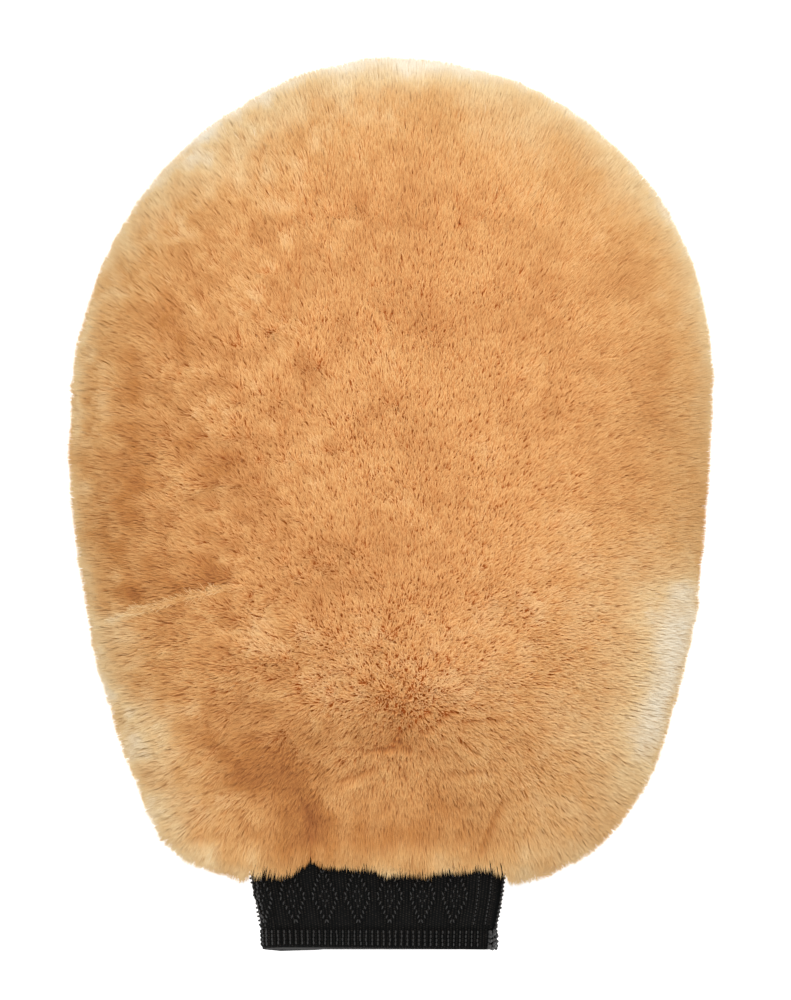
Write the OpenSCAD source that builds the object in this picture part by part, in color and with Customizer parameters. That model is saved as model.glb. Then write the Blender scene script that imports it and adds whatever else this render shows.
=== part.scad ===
// Sheepskin wash mitt with a knitted elastic cuff, lying on its back.
// +X is across the mitt, +Y points to the fingertips, +Z is up. Z = 0 is the surface it lies on.
// All sizes are in millimetres.

/* [Fleece] */
// Width over the pile
mitt_w = 200; // [160:1:240]
// Length of the fleece body, fingertip end to cuff end
mitt_l = 256; // [210:1:310]
// Length from the widest line to the fingertip end
crown_l = 106; // [80:1:130]
// Length of the standing pile on the front
pile_front = 20; // [12:1:28]
// Length of the pile past the side seam, all round the edge
pile_edge = 19; // [12:1:26]
// Height of the back pile, pressed flat by the surface below it
pile_pressed = 14; // [8:1:20]
// How much narrower the cuff end is, as a share of the half width
taper = 0.2; // [0:0.01:0.3]
// Squareness of the corners at the cuff end
corner = 5; // [3:0.5:7]
// How far the cuff and the cuff end of the fleece sit off the middle
heel_drift = -4; // [-8:0.5:8]
// Distance from the widest line to the cross seam of the front
join_y = 58; // [30:1:80]

/* [Hide] */
// Thickness of the tanned skin
hide_t = 1.6; // [1:0.1:2.4]
// Height of the hand pocket at its middle
pocket_h = 20; // [16:1:34]
// Width of the seam allowance turned into the pocket
allowance_w = 5; // [4:0.5:8]
// Thickness of one pared-down seam allowance
allowance_t = 1.2; // [0.8:0.1:1.6]

/* [Cuff] */
// Flat width of the knitted tube
cuff_w = 77; // [60:1:100]
// Height of the knitted tube as it lies
cuff_h = 12; // [10:0.5:16]
// Thickness of the knitted band
knit_t = 1.8; // [1.2:0.1:2.4]
// Length of the knit that is tucked under the hide and sewn
cuff_tuck = 8; // [6:0.5:12]
// Length of the cuff past its fold line, hem included
cuff_out = 20; // [14:0.5:40]
// Length of the ribbed hem
hem_l = 6; // [4:0.5:10]
// How far the ribbed hem stands out of the band
hem_rise = 0.4; // [0.2:0.1:0.8]
// Width of the side seam's turned-in edge
fin_w = 3.5; // [3:0.5:5]
// Height of the side seam's turned-in edge, both layers
fin_t = 2.4; // [2:0.1:3]

/* [Thread] */
// Diameter of the sewing thread
thread_d = 0.6; // [0.4:0.1:1]
// Distance between stitches of the hide seams
stitch_pitch = 5; // [4:0.5:10]
// Distance between overlock loops of the cuff seam
overlock_pitch = 2.5; // [2:0.5:5]
// Diameter of the covered rubber thread in the knit
elastic_d = 0.9; // [0.6:0.1:1.1]
// Distance between rubber threads
elastic_pitch = 3; // [2:0.5:5]

/* [Hidden] */

angles_n = 60;      // points round the outline
outer_n = 8;        // rings up the outside of a dome
inner_n = 5;        // rings up the inside of a dome
wool_clear = 0.8;   // free space between the pile's roots and the cuff
sewn_clear = 0.1;   // free space between the hide's edge and the cuff
fold_clear = 2.5;   // from the end of the pile to the line the cuff folds on
fleece_colour = [0.86, 0.62, 0.36];
hide_colour = [0.85, 0.76, 0.62];
thread_colour = [0.78, 0.66, 0.48];
knit_colour = [0.06, 0.06, 0.06];
rubber_colour = [0.2, 0.2, 0.2];

half_w = mitt_w / 2;
heel_l = mitt_l - crown_l;
inner_rise = pocket_h / 2;
hide_rise = inner_rise + hide_t;
front_rise = hide_rise + pile_front;
back_rise = hide_rise + pile_pressed;
allowance_in = pile_edge + allowance_w;

// Along Y, measured from the widest line, with the cuff on the minus side.
heel_y = -heel_l;
fold_y = heel_y - fold_clear;
cuff_end_y = fold_y - cuff_out;
hem_y = cuff_end_y + hem_l;
mouth_y = -(heel_l - pile_edge) * pow(1 - pow(cuff_h / 2 / hide_rise, 2), 1 / 4);
cuff_start_y = mouth_y + cuff_tuck;
stitch_y = mouth_y + cuff_tuck / 2;

// The widest line and the seam plane in the part's own frame.
wide_y = -(crown_l + cuff_end_y) / 2;
seam_z = back_rise;

// Outline of the mitt, inset by i: half an ellipse above the widest line, a tapered square below it.
function drift(y) = y >= 0 ? 0 : heel_drift * pow(y / heel_l, 2);
function beyond(x, y, i) =
    let (a = half_w - i, b = crown_l - i, c = heel_l - i)
    y >= 0 ? pow(x / a, 2) + pow(y / b, 2) > 1
    : -y >= c || pow(abs(x - drift(y)) / (a * (1 - taper * pow(y / c, 2))), corner) + pow(-y / c, corner) > 1;
function rim_r(t, i, low = 0, high = undef, steps = 22) =
    let (top = is_undef(high) ? half_w + mitt_l : high, middle = (low + top) / 2)
    steps == 0 ? middle
    : beyond(middle * cos(t), middle * sin(t), i) ? rim_r(t, i, low, middle, steps - 1)
    : rim_r(t, i, middle, top, steps - 1);
function rim(t, i) = rim_r(t, i) * [cos(t), sin(t)];

// Half width of the outline inset by i, at a distance d from the widest line toward the cuff.
function half_width_at(d, i) =
    let (a = half_w - i, share = min(1, d / (heel_l - i)))
    a * (1 - taper * pow(share, 2)) * pow(1 - pow(share, corner), 1 / corner);

// Height over the seam plane of a dome that rises to h inside the outline inset by i.
function dome_z(x, y, i, h) =
    let (share = norm([x, y]) / rim_r(atan2(y, x), i))
    h * sqrt(max(0, 1 - pow(share, 4)));
// The dome's profile as [share of the outline, inset, height], from the top or from angle a0 to the rim.
function dome(i, h, n, a0 = 0) =
    [for (k = [0:n]) let (t = a0 + (90 - a0) * k / n) [sqrt(sin(t)), i, h * cos(t)]];
function reversed(list) = [for (k = [len(list) - 1:-1:0]) list[k]];

// A solid whose profile follows the outline all round. The profile starts and ends on the middle axis.
module outline_solid(profile) {
    rings = len(profile) - 2;
    last = rings * angles_n + 1;
    function at(ring, k) = 1 + (ring - 1) * angles_n + k % angles_n;
    points = [
        [0, 0, profile[0][2]],
        for (ring = [1:rings], k = [0:angles_n - 1])
            let (p = profile[ring], flat = p[0] * rim(360 * k / angles_n, p[1])) [flat.x, flat.y, p[2]],
        [0, 0, profile[rings + 1][2]]
    ];
    faces = [
        for (k = [0:angles_n - 1]) [0, at(1, k + 1), at(1, k)],
        for (ring = [1:rings - 1], k = [0:angles_n - 1])
            each [[at(ring, k), at(ring, k + 1), at(ring + 1, k + 1)], [at(ring, k), at(ring + 1, k + 1), at(ring + 1, k)]],
        for (k = [0:angles_n - 1]) [at(rings, k), at(rings, k + 1), last]
    ];
    polyhedron(points, faces);
}

module placed() { translate([0, wide_y, seam_z]) children(); }

// Flat tube outline of the cuff, grown by g all round.
module stadium(g) {
    r = cuff_h / 2 + g;
    x = cuff_w / 2 - cuff_h / 2;
    square([2 * x, 2 * r], center = true);
    for (side = [-1, 1]) translate([side * x, 0]) circle(r, $fn = 64);
}
// Extrudes a flat shape of the XZ plane from y0 back to y1.
module along_y(y0, y1) { translate([heel_drift, y0, 0]) rotate([90, 0, 0]) linear_extrude(y0 - y1) children(); }
module cuff_tunnel(clear) { along_y(cuff_start_y + 1, cuff_end_y) stadium(clear); }

// ---- Fleece ----
module front_wool() {
    color(fleece_colour) difference() {
        outline_solid(concat(dome(0, front_rise, outer_n), reversed(dome(pile_edge, hide_rise, inner_n))));
        cuff_tunnel(wool_clear);
    }
}
module back_wool() {
    pressed_angle = acos(back_rise / front_rise);
    outer = concat([[0, 0, back_rise]], dome(0, front_rise, outer_n - 2, pressed_angle));
    color(fleece_colour) difference() {
        mirror([0, 0, 1]) outline_solid(concat(outer, reversed(dome(pile_edge, hide_rise, inner_n))));
        cuff_tunnel(wool_clear);
    }
}

// ---- Hide ----
module hide() {
    rim_share = pow(1 - pow(allowance_t / inner_rise, 2), 1 / 4);
    inner = dome(pile_edge + hide_t, inner_rise, inner_n, 0);
    color(hide_colour) difference() {
        outline_solid(concat(
            dome(pile_edge, hide_rise, inner_n),
            [[1, allowance_in, 0], [1, allowance_in, allowance_t], [rim_share, pile_edge + hide_t, allowance_t]],
            reversed([for (k = [0:inner_n - 1]) inner[k]])
        ));
        cuff_tunnel(sewn_clear);
    }
}
// Cuts the front panel at its cross seam: side 1 keeps the fingertip end, -1 the cuff end.
module half(side) {
    big = mitt_w + mitt_l;
    intersection() {
        children();
        translate([-big / 2, side > 0 ? -join_y : -join_y - big, 0]) cube([big, big, front_rise + 1]);
    }
}

// ---- Stitches ----
// One closed loop of thread round the X axis.
module loop(r) { rotate([0, 90, 0]) rotate_extrude($fn = 32) translate([r, 0]) circle(thread_d / 2, $fn = 16); }
function rim_step(t) = norm(rim(t + 0.5, allowance_in) - rim(t - 0.5, allowance_in));
function rim_walk(t, end) = t > end ? [] : concat([t], rim_walk(t + stitch_pitch / rim_step(t), end));
// The side seam runs from one side of the cuff, round the fingertips, to the other side.
module side_seam_stitches() {
    loop_r = allowance_w / 2;
    cuff_side = cuff_w / 2 + loop_r + 1;
    start = atan2(mouth_y, heel_drift + cuff_side);
    end = atan2(mouth_y, heel_drift - cuff_side) + 360;
    color(thread_colour) for (t = rim_walk(start, end)) {
        p = rim(t, allowance_in);
        translate([p.x, p.y, 0]) rotate([0, 0, t + 90]) loop(loop_r);
    }
}
module cross_seam_stitches() {
    reach = half_width_at(join_y, allowance_in) - abs(drift(-join_y)) - hide_t;
    count = floor(reach / stitch_pitch);
    color(thread_colour) for (k = [-count:count]) {
        x = k * stitch_pitch;
        z = (dome_z(x, -join_y, pile_edge, hide_rise) + dome_z(x, -join_y, pile_edge + hide_t, inner_rise)) / 2;
        translate([x, -join_y, z]) loop(hide_t);
    }
}
module mouth_stitches() {
    flat_half = cuff_w / 2 - cuff_h / 2;
    count = floor(flat_half / stitch_pitch);
    color(thread_colour) for (side = [-1, 1], k = [-count:count])
        translate([heel_drift + k * stitch_pitch, stitch_y, side * cuff_h / 2]) loop(knit_t);
}

// ---- Cuff ----
inner_edge = heel_drift + cuff_w / 2 - knit_t;
module knit_tube(y0, y1, rise) {
    along_y(y0, y1) difference() {
        stadium(rise);
        stadium(-knit_t);
    }
    // The side seam's two edges, turned into the tube.
    translate([inner_edge - fin_w, y1, -fin_t / 2]) cube([fin_w + knit_t / 2, y0 - y1, fin_t]);
}
module cuff_neck() { color(knit_colour) knit_tube(cuff_start_y, fold_y, 0); }
module cuff_sleeve() { color(knit_colour) knit_tube(fold_y, hem_y, 0); }
module cuff_hem() { color(knit_colour) knit_tube(hem_y, cuff_end_y, hem_rise); }

// Covered rubber threads laid into the knit, one closed ring each.
// In the neck one lies under the mouth stitching, so the sewing thread passes between its neighbours.
module neck_elastic_threads() {
    above = floor((cuff_start_y - elastic_d - stitch_y) / elastic_pitch);
    below = floor((stitch_y - fold_y - elastic_d) / elastic_pitch);
    elastic_threads(stitch_y + above * elastic_pitch, above + below);
}
module sleeve_elastic_threads() {
    count = floor((fold_y - cuff_end_y - 2 * elastic_d) / elastic_pitch);
    elastic_threads((fold_y + cuff_end_y + count * elastic_pitch) / 2, count);
}
module elastic_threads(first, count) {
    x = cuff_w / 2 - cuff_h / 2;
    ring_r = cuff_h / 2 - knit_t / 2;
    color(rubber_colour) for (k = [0:count]) translate([heel_drift, first - k * elastic_pitch, 0]) rotate([90, 0, 0]) {
        for (side = [-1, 1]) {
            translate([side * x, 0, 0]) rotate([0, 0, side * -90]) rotate_extrude(angle = 180, $fn = 48)
                translate([ring_r, 0]) circle(elastic_d / 2, $fn = 24);
            translate([-x, side * ring_r, 0]) rotate([0, 90, 0]) cylinder(2 * x, d = elastic_d, $fn = 24);
        }
    }
}
module overlock_loops(y0, y1) {
    count = floor((y0 - y1) / overlock_pitch) - 1;
    first = (y0 + y1 + count * overlock_pitch) / 2;
    color(knit_colour) for (k = [0:count])
        translate([inner_edge - fin_w, first - k * overlock_pitch, 0]) rotate([0, 0, 90]) loop(fin_t * 0.75);
}

placed() half(1) front_wool();  // front_wool_upper
placed() half(-1) front_wool();  // front_wool_lower
placed() back_wool();
placed() half(1) hide();  // front_hide_upper
placed() half(-1) hide();  // front_hide_lower
placed() mirror([0, 0, 1]) hide();  // back_hide
placed() side_seam_stitches();
placed() cross_seam_stitches();
placed() mouth_stitches();
placed() cuff_neck();
placed() neck_elastic_threads();
placed() overlock_loops(cuff_start_y, fold_y);  // neck_seam_stitches
placed() cuff_sleeve();
placed() cuff_hem();
placed() sleeve_elastic_threads();
placed() overlock_loops(fold_y, cuff_end_y);  // sleeve_seam_stitches
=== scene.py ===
import itertools
import math
import bmesh
import bpy
import numpy as np
from mathutils import Matrix, Vector


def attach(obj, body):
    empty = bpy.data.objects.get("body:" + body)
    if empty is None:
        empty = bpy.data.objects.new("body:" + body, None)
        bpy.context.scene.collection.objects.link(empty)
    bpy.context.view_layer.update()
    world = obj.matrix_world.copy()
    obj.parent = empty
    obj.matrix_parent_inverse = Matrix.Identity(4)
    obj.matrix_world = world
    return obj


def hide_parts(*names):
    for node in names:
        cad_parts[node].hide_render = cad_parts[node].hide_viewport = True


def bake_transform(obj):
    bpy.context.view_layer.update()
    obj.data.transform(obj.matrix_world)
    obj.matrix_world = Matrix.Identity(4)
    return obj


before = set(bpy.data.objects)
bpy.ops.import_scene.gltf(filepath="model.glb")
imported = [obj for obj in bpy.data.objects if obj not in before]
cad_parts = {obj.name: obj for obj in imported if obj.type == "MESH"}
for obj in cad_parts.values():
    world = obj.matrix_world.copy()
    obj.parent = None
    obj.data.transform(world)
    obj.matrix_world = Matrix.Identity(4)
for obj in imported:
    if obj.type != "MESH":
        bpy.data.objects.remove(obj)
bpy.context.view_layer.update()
mm = 0.001

# The mitt's own sizes in mm, as the CAD part has them. Y 0 of the outline is its widest line.
mitt = {
    "halfWidth": 100,
    "crown": 106,
    "heel": 150,
    "taper": 0.2,
    "corner": 5,
    "drift": -4,
    "wideY": 33.25,
    "seamZ": 25.6,
    "frontRise": 31.6,
    "backRise": 25.6,
    "pileEdge": 19,
    "hideRise": 11.6,
    "allowanceIn": 24,
    "joinY": -24.75,
    "mouthY": -87.94,
}


def linearColour(red, green, blue):
    # screen values 0 to 255 as shader colour
    shares = (c / 3294.6 if c <= 10.31 else ((c / 255 + 0.055) / 1.055) ** 2.4 for c in (red, green, blue))
    return (*shares, 1)


def hump(distance, half):
    # 1 at the middle, falling off smoothly on both sides
    return np.exp(-(distance / half) ** 2)


def softNoise(points, size, seed):
    # smooth random field, about -1 to 1, with features about size mm wide
    table = np.random.default_rng(seed).uniform(-1, 1, (48, 48, 48))
    place = points / size + 500
    cell = np.floor(place).astype(int)
    part = place - cell
    part = part * part * (3 - 2 * part)
    total = np.zeros(len(points))
    for step in itertools.product((0, 1), repeat=3):
        share = np.prod(np.where(np.array(step) == 1, part, 1 - part), axis=1)
        total += share * table[tuple(((cell + step) % 48).T)]
    return total * 1.7


def noiseSlope(points, size, seed):
    # which way the soft noise rises, per feature width
    here = softNoise(points, size, seed)
    step = 0.25 * size
    return np.stack([(softNoise(points + step * axis, size, seed) - here) * 4 for axis in np.eye(3)], axis=1)


def unit(vectors):
    return vectors / np.maximum(np.linalg.norm(vectors, axis=1, keepdims=True), 1e-9)


def rimRadius(theta, inset):
    # distance from the middle of the widest line to the outline, at angle theta
    a, b, c = mitt["halfWidth"] - inset, mitt["crown"] - inset, mitt["heel"] - inset
    low, high = np.zeros_like(theta), np.full_like(theta, 400.0)
    for step in range(26):
        r = (low + high) / 2
        x, y = r * np.cos(theta), r * np.sin(theta)
        fall = np.minimum(-y / c, 1.2)
        middle = mitt["drift"] * (np.minimum(y, 0) / mitt["heel"]) ** 2
        across = np.abs(x - middle) / (a * (1 - mitt["taper"] * fall ** 2))
        pastCrown = (x / a) ** 2 + (y / b) ** 2 > 1
        pastHeel = (-y >= c) | (across ** mitt["corner"] + np.abs(fall) ** mitt["corner"] > 1)
        outside = np.where(y >= 0, pastCrown, pastHeel)
        high, low = np.where(outside, r, high), np.where(outside, low, r)
    return (low + high) / 2


def placeRound(flat, theta, height):
    # places from the distance and angle round the middle of the widest line, and the height over the seam
    x, y = flat * np.cos(theta), flat * np.sin(theta) + mitt["wideY"]
    return np.stack([x, y, height + mitt["seamZ"]], axis=1)


# How the stuffed outline strays from the cut one, by Y: shift to the right, and change of half width
outlineStray = {
    "asideY": [-114, -107, -101, -95, -88, -76, -57, -36, -20, 0, 15, 34, 60, 82, 104, 122, 134, 139],
    "aside": [0.6, 0, 1.4, 2.2, 2.8, 2.8, 2, 1.2, 0.8, -0.3, -0.4, 0.6, 1.7, 2.8, 3.2, 3.8, 1, 0],
    "widerY": [-114, -108, -102, -95, -89, -83, -70, -58, -45, -20, 0, 100, 124, 129, 135],
    "wider": [7, 5, 3.8, 1.7, 0, -0.3, -1.2, -1.4, -0.9, -0.9, 0, -0.4, -1.2, -2.6, -5],
}


def settle(places):
    # moves the rim of the pile in x and leaves the middle where it is
    x, y = places[:, 0], places[:, 1]
    deep = y - mitt["wideY"]
    share = np.hypot(x, deep) / rimRadius(np.arctan2(deep, x), 0)
    weight = np.clip((share - 0.5) / 0.44, 0, 1)
    weight = weight * weight * (3 - 2 * weight)
    toSide = np.clip((x - mitt["drift"]) / 30, -1, 1)
    move = np.interp(y, outlineStray["asideY"], outlineStray["aside"])
    move += np.interp(y, outlineStray["widerY"], outlineStray["wider"]) * toSide
    places[:, 0] += weight * move
    return places


def addMesh(name, bm):
    mesh = bpy.data.meshes.new(name)
    bm.to_mesh(mesh)
    bm.free()
    piece = bpy.data.objects.new(name, mesh)
    bpy.context.collection.objects.link(piece)
    return piece


def readPoints(mesh):
    places = np.empty(len(mesh.vertices) * 3, np.float32)
    mesh.vertices.foreach_get("co", places)
    return places.reshape(-1, 3).astype(float)


def writePoints(mesh, places):
    mesh.vertices.foreach_set("co", np.asarray(places, np.float32).ravel())
    mesh.update()


def writeMap(mesh, pointMap):
    # a UV map from one pair of numbers per vertex
    layer = mesh.uv_layers.get("OFBake") or mesh.uv_layers.new(name="OFBake")
    corners = np.empty(len(mesh.loops), np.int32)
    mesh.loops.foreach_get("vertex_index", corners)
    layer.uv.foreach_set("vector", pointMap[corners].astype(np.float32).ravel())


def smoothFaces(piece):
    piece.data.polygons.foreach_set("use_smooth", [True] * len(piece.data.polygons))


def setMaterial(piece, material):
    piece.data.materials.clear()
    piece.data.materials.append(material)


def scatterNodes(shape):
    # puts a copy of shape on every point, turned to its grain and stretched to its size
    tree = bpy.data.node_groups.new("scatter" + shape.name, "GeometryNodeTree")
    tree.interface.new_socket(name="Geometry", in_out="INPUT", socket_type="NodeSocketGeometry")
    tree.interface.new_socket(name="Geometry", in_out="OUTPUT", socket_type="NodeSocketGeometry")
    nodes, links = tree.nodes, tree.links
    source, result = nodes.new("NodeGroupInput"), nodes.new("NodeGroupOutput")
    onPoints, realize = nodes.new("GeometryNodeInstanceOnPoints"), nodes.new("GeometryNodeRealizeInstances")
    shapeInfo, turn = nodes.new("GeometryNodeObjectInfo"), nodes.new("FunctionNodeAlignRotationToVector")
    shapeInfo.inputs["Object"].default_value = shape
    turn.axis = "Z"
    for name, socket in (("grain", turn.inputs["Vector"]), ("size", onPoints.inputs["Scale"])):
        reader = nodes.new("GeometryNodeInputNamedAttribute")
        reader.data_type = "FLOAT_VECTOR"
        reader.inputs["Name"].default_value = name
        links.new(reader.outputs["Attribute"], socket)
    links.new(source.outputs[0], onPoints.inputs["Points"])
    links.new(shapeInfo.outputs["Geometry"], onPoints.inputs["Instance"])
    links.new(turn.outputs["Rotation"], onPoints.inputs["Rotation"])
    links.new(onPoints.outputs["Instances"], realize.inputs["Geometry"])
    links.new(realize.outputs["Geometry"], result.inputs[0])
    return tree


def scatterShape(name, tree, places, grain, size, extras):
    # places and size in mm; extras are more vectors that stay on the finished vertices
    mesh = bpy.data.meshes.new(name + "Points")
    mesh.vertices.add(len(places))
    mesh.vertices.foreach_set("co", (places * mm).astype(np.float32).ravel())
    for key, values in {"grain": grain, "size": size * mm, **extras}.items():
        layer = mesh.attributes.new(key, "FLOAT_VECTOR", "POINT")
        layer.data.foreach_set("vector", values.astype(np.float32).ravel())
    piece = bpy.data.objects.new(name, mesh)
    bpy.context.collection.objects.link(piece)
    scatter = piece.modifiers.new("scatter", "NODES")
    scatter.node_group = tree
    graph = bpy.context.evaluated_depsgraph_get()
    grown = piece.evaluated_get(graph)
    finished = bpy.data.meshes.new_from_object(grown, preserve_all_data_layers=True, depsgraph=graph)
    piece.modifiers.clear()
    piece.data = finished
    finished.name = name
    return piece


def takeVector(mesh, key):
    values = np.empty(len(mesh.vertices) * 3, np.float32)
    mesh.attributes[key].data.foreach_get("vector", values)
    mesh.attributes.remove(mesh.attributes[key])
    return values.reshape(-1, 3).astype(float)


def newGroup(name, inputs, outputs):
    group = bpy.data.node_groups.new(name, "ShaderNodeTree")
    for title, kind, value in inputs:
        socket = group.interface.new_socket(name=title, in_out="INPUT", socket_type=kind)
        if value is not None:
            socket.default_value = value
    for title, kind in outputs:
        group.interface.new_socket(name=title, in_out="OUTPUT", socket_type=kind)
    return group, group.nodes.new("NodeGroupInput"), group.nodes.new("NodeGroupOutput")


def mathNode(tree, operation, *values):
    node = tree.nodes.new("ShaderNodeMath")
    node.operation = operation
    for slot, value in zip(node.inputs, values):
        if hasattr(value, "is_linked") or hasattr(value, "links"):
            tree.links.new(value, slot)
        else:
            slot.default_value = value
    return node.outputs[0]


def rampNode(tree, factor, stops):
    node = tree.nodes.new("ShaderNodeValToRGB")
    elements = node.color_ramp.elements
    while len(elements) < len(stops):
        elements.new(0.5)
    for element, (position, colour) in zip(elements, stops):
        element.position, element.color = position, colour
    tree.links.new(factor, node.inputs["Fac"])
    return node.outputs["Color"]


def splitMap(tree):
    # the piece's own map, U and V apart
    pieceMap = tree.nodes.new("ShaderNodeUVMap")
    pieceMap.uv_map = "OFBake"
    split = tree.nodes.new("ShaderNodeSeparateXYZ")
    tree.links.new(pieceMap.outputs["UV"], split.inputs[0])
    return split.outputs["X"], split.outputs["Y"]


def ridgeNodes(tree, count):
    # one smooth ridge from each whole number to the next
    return mathNode(tree, "ABSOLUTE", mathNode(tree, "SINE", mathNode(tree, "MULTIPLY", count, math.pi)))


def addBump(tree, shader, height, distance):
    bump = tree.nodes.new("ShaderNodeBump")
    bump.inputs["Distance"].default_value = distance
    tree.links.new(height, bump.inputs["Height"])
    tree.links.new(bump.outputs["Normal"], shader.inputs["Normal"])


def newMaterial(name, roughness, **plain):
    material = bpy.data.materials.new(name)
    material.use_nodes = True
    shader = material.node_tree.nodes["Principled BSDF"]
    shader.inputs["Roughness"].default_value = roughness
    for title, value in plain.items():
        shader.inputs[title.replace("_", " ")].default_value = value
    return material, material.node_tree, shader


# Tone runs from 0, the darkest wool, to 1, the palest.
fleeceLook = {
    "tips": [
        (0, (164, 92, 36)),
        (0.25, (206, 141, 72)),
        (0.5, (231, 183, 120)),
        (0.75, (245, 215, 163)),
        (1, (255, 246, 226)),
    ],
    "roots": [(0, (146, 80, 30)), (0.5, (208, 142, 77)), (1, (243, 212, 160))],
    "paleFrom": 0.2,
    "paleTo": 1.0,
    "roughness": 0.8,
}


def makeFleeceMaterial():
    # U is the fibre's tone and V runs from its root to its tip
    material, tree, shader = newMaterial("goldenFleece", fleeceLook["roughness"])
    tone, along = splitMap(tree)
    tips = rampNode(tree, tone, [(p, linearColour(*c)) for p, c in fleeceLook["tips"]])
    # the roots are darker and redder than the tips: partly the wool's own colour, partly painted shade deep
    # in the pile
    roots = rampNode(tree, tone, [(p, linearColour(*c)) for p, c in fleeceLook["roots"]])
    fade = tree.nodes.new("ShaderNodeMapRange")
    fade.interpolation_type = "SMOOTHSTEP"
    fade.inputs["From Min"].default_value = fleeceLook["paleFrom"]
    fade.inputs["From Max"].default_value = fleeceLook["paleTo"]
    tree.links.new(along, fade.inputs["Value"])
    blend = tree.nodes.new("ShaderNodeMix")
    blend.data_type = "RGBA"
    tree.links.new(fade.outputs["Result"], blend.inputs["Factor"])
    tree.links.new(roots, blend.inputs[6])
    tree.links.new(tips, blend.inputs[7])
    tree.links.new(blend.outputs[2], shader.inputs["Base Color"])
    return material


def makeMottleGroup():
    # cloudy colour and fine grain on Object coordinates, for hide, underwool and rubber
    inputs = [
        ("Dark", "NodeSocketColor", None),
        ("Pale", "NodeSocketColor", None),
        ("Cloud Size", "NodeSocketFloat", 60.0),
        ("Grain Size", "NodeSocketFloat", 900.0),
        ("Grain Depth", "NodeSocketFloat", 0.3),
    ]
    outputs = [("Color", "NodeSocketColor"), ("Normal", "NodeSocketVector")]
    group, given, result = newGroup("mottledSurface", inputs, outputs)
    place = group.nodes.new("ShaderNodeTexCoord")
    cloud, grain = group.nodes.new("ShaderNodeTexNoise"), group.nodes.new("ShaderNodeTexNoise")
    for node, key in ((cloud, "Cloud Size"), (grain, "Grain Size")):
        group.links.new(place.outputs["Object"], node.inputs["Vector"])
        group.links.new(given.outputs[key], node.inputs["Scale"])
        node.inputs["Detail"].default_value = 4
    clouded = mathNode(group, "MULTIPLY", cloud.outputs["Fac"], 0.7)
    mixed = mathNode(group, "MULTIPLY_ADD", grain.outputs["Fac"], 0.35, clouded)
    blend = group.nodes.new("ShaderNodeMix")
    blend.data_type = "RGBA"
    group.links.new(mixed, blend.inputs["Factor"])
    group.links.new(given.outputs["Dark"], blend.inputs[6])
    group.links.new(given.outputs["Pale"], blend.inputs[7])
    bump = group.nodes.new("ShaderNodeBump")
    bump.inputs["Distance"].default_value = 0.0004
    group.links.new(given.outputs["Grain Depth"], bump.inputs["Strength"])
    group.links.new(grain.outputs["Fac"], bump.inputs["Height"])
    group.links.new(blend.outputs[2], result.inputs["Color"])
    group.links.new(bump.outputs["Normal"], result.inputs["Normal"])
    return group


mottleGroup = makeMottleGroup()


def makeMottledMaterial(name, roughness, dark, pale, cloudSize, grainSize, grainDepth):
    material, tree, shader = newMaterial(name, roughness)
    surface = tree.nodes.new("ShaderNodeGroup")
    surface.node_tree = mottleGroup
    surface.inputs["Dark"].default_value = linearColour(*dark)
    surface.inputs["Pale"].default_value = linearColour(*pale)
    surface.inputs["Cloud Size"].default_value = cloudSize
    surface.inputs["Grain Size"].default_value = grainSize
    surface.inputs["Grain Depth"].default_value = grainDepth
    tree.links.new(surface.outputs["Color"], shader.inputs["Base Color"])
    tree.links.new(surface.outputs["Normal"], shader.inputs["Normal"])
    return material


def makeThreadMaterial(name, dark, pale, roughness):
    # plied thread: stripes run slantwise round the strand, U along it and V round it
    material, tree, shader = newMaterial(name, roughness)
    along, across = splitMap(tree)
    slant = mathNode(tree, "MULTIPLY_ADD", across, 3, mathNode(tree, "MULTIPLY", along, 22))
    ply = ridgeNodes(tree, slant)
    colour = rampNode(tree, ply, [(0, linearColour(*dark)), (0.6, linearColour(*pale))])
    tree.links.new(colour, shader.inputs["Base Color"])
    addBump(tree, shader, ply, 0.0001)
    return material


knitLook = {
    "dark": (1, 2, 2),
    "middle": (7, 7, 7),
    "pale": (44, 40, 36),
    "roughness": 0.7,
    "shine": 0.06,
    "wales": 170,
    "courses": 172,
}


def makeKnitMaterial():
    # rows of small interlocked loops: U runs round the tube and V along it
    roughness, shine = knitLook["roughness"], knitLook["shine"]
    material, tree, shader = newMaterial("blackKnit", roughness, Specular_IOR_Level=shine)
    around, along = splitMap(tree)
    wale = mathNode(tree, "MULTIPLY", around, knitLook["wales"])
    course = mathNode(tree, "MULTIPLY", along, knitLook["courses"])
    column = ridgeNodes(tree, wale)
    halfDrop = mathNode(tree, "MULTIPLY", mathNode(tree, "FLOOR", wale), 0.5)
    loop = ridgeNodes(tree, mathNode(tree, "ADD", course, halfDrop))
    height = mathNode(tree, "MULTIPLY", column, loop)
    place = tree.nodes.new("ShaderNodeTexCoord")
    fuzz = tree.nodes.new("ShaderNodeTexNoise")
    fuzz.inputs["Scale"].default_value = 1800
    tree.links.new(place.outputs["Object"], fuzz.inputs["Vector"])
    # the colour runs from near black in the grooves to grey on the loops' tops: partly the yarn's own wear,
    # partly painted shade in the grooves and painted highlight on the tops
    fuzzyLoopHeight = mathNode(tree, "MULTIPLY", height, fuzz.outputs["Fac"])
    stops = ((0, "dark"), (0.3, "middle"), (0.65, "pale"))
    colour = rampNode(tree, fuzzyLoopHeight, [(share, linearColour(*knitLook[key])) for share, key in stops])
    tree.links.new(colour, shader.inputs["Base Color"])
    addBump(tree, shader, fuzzyLoopHeight, 0.00025)
    return material


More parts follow.
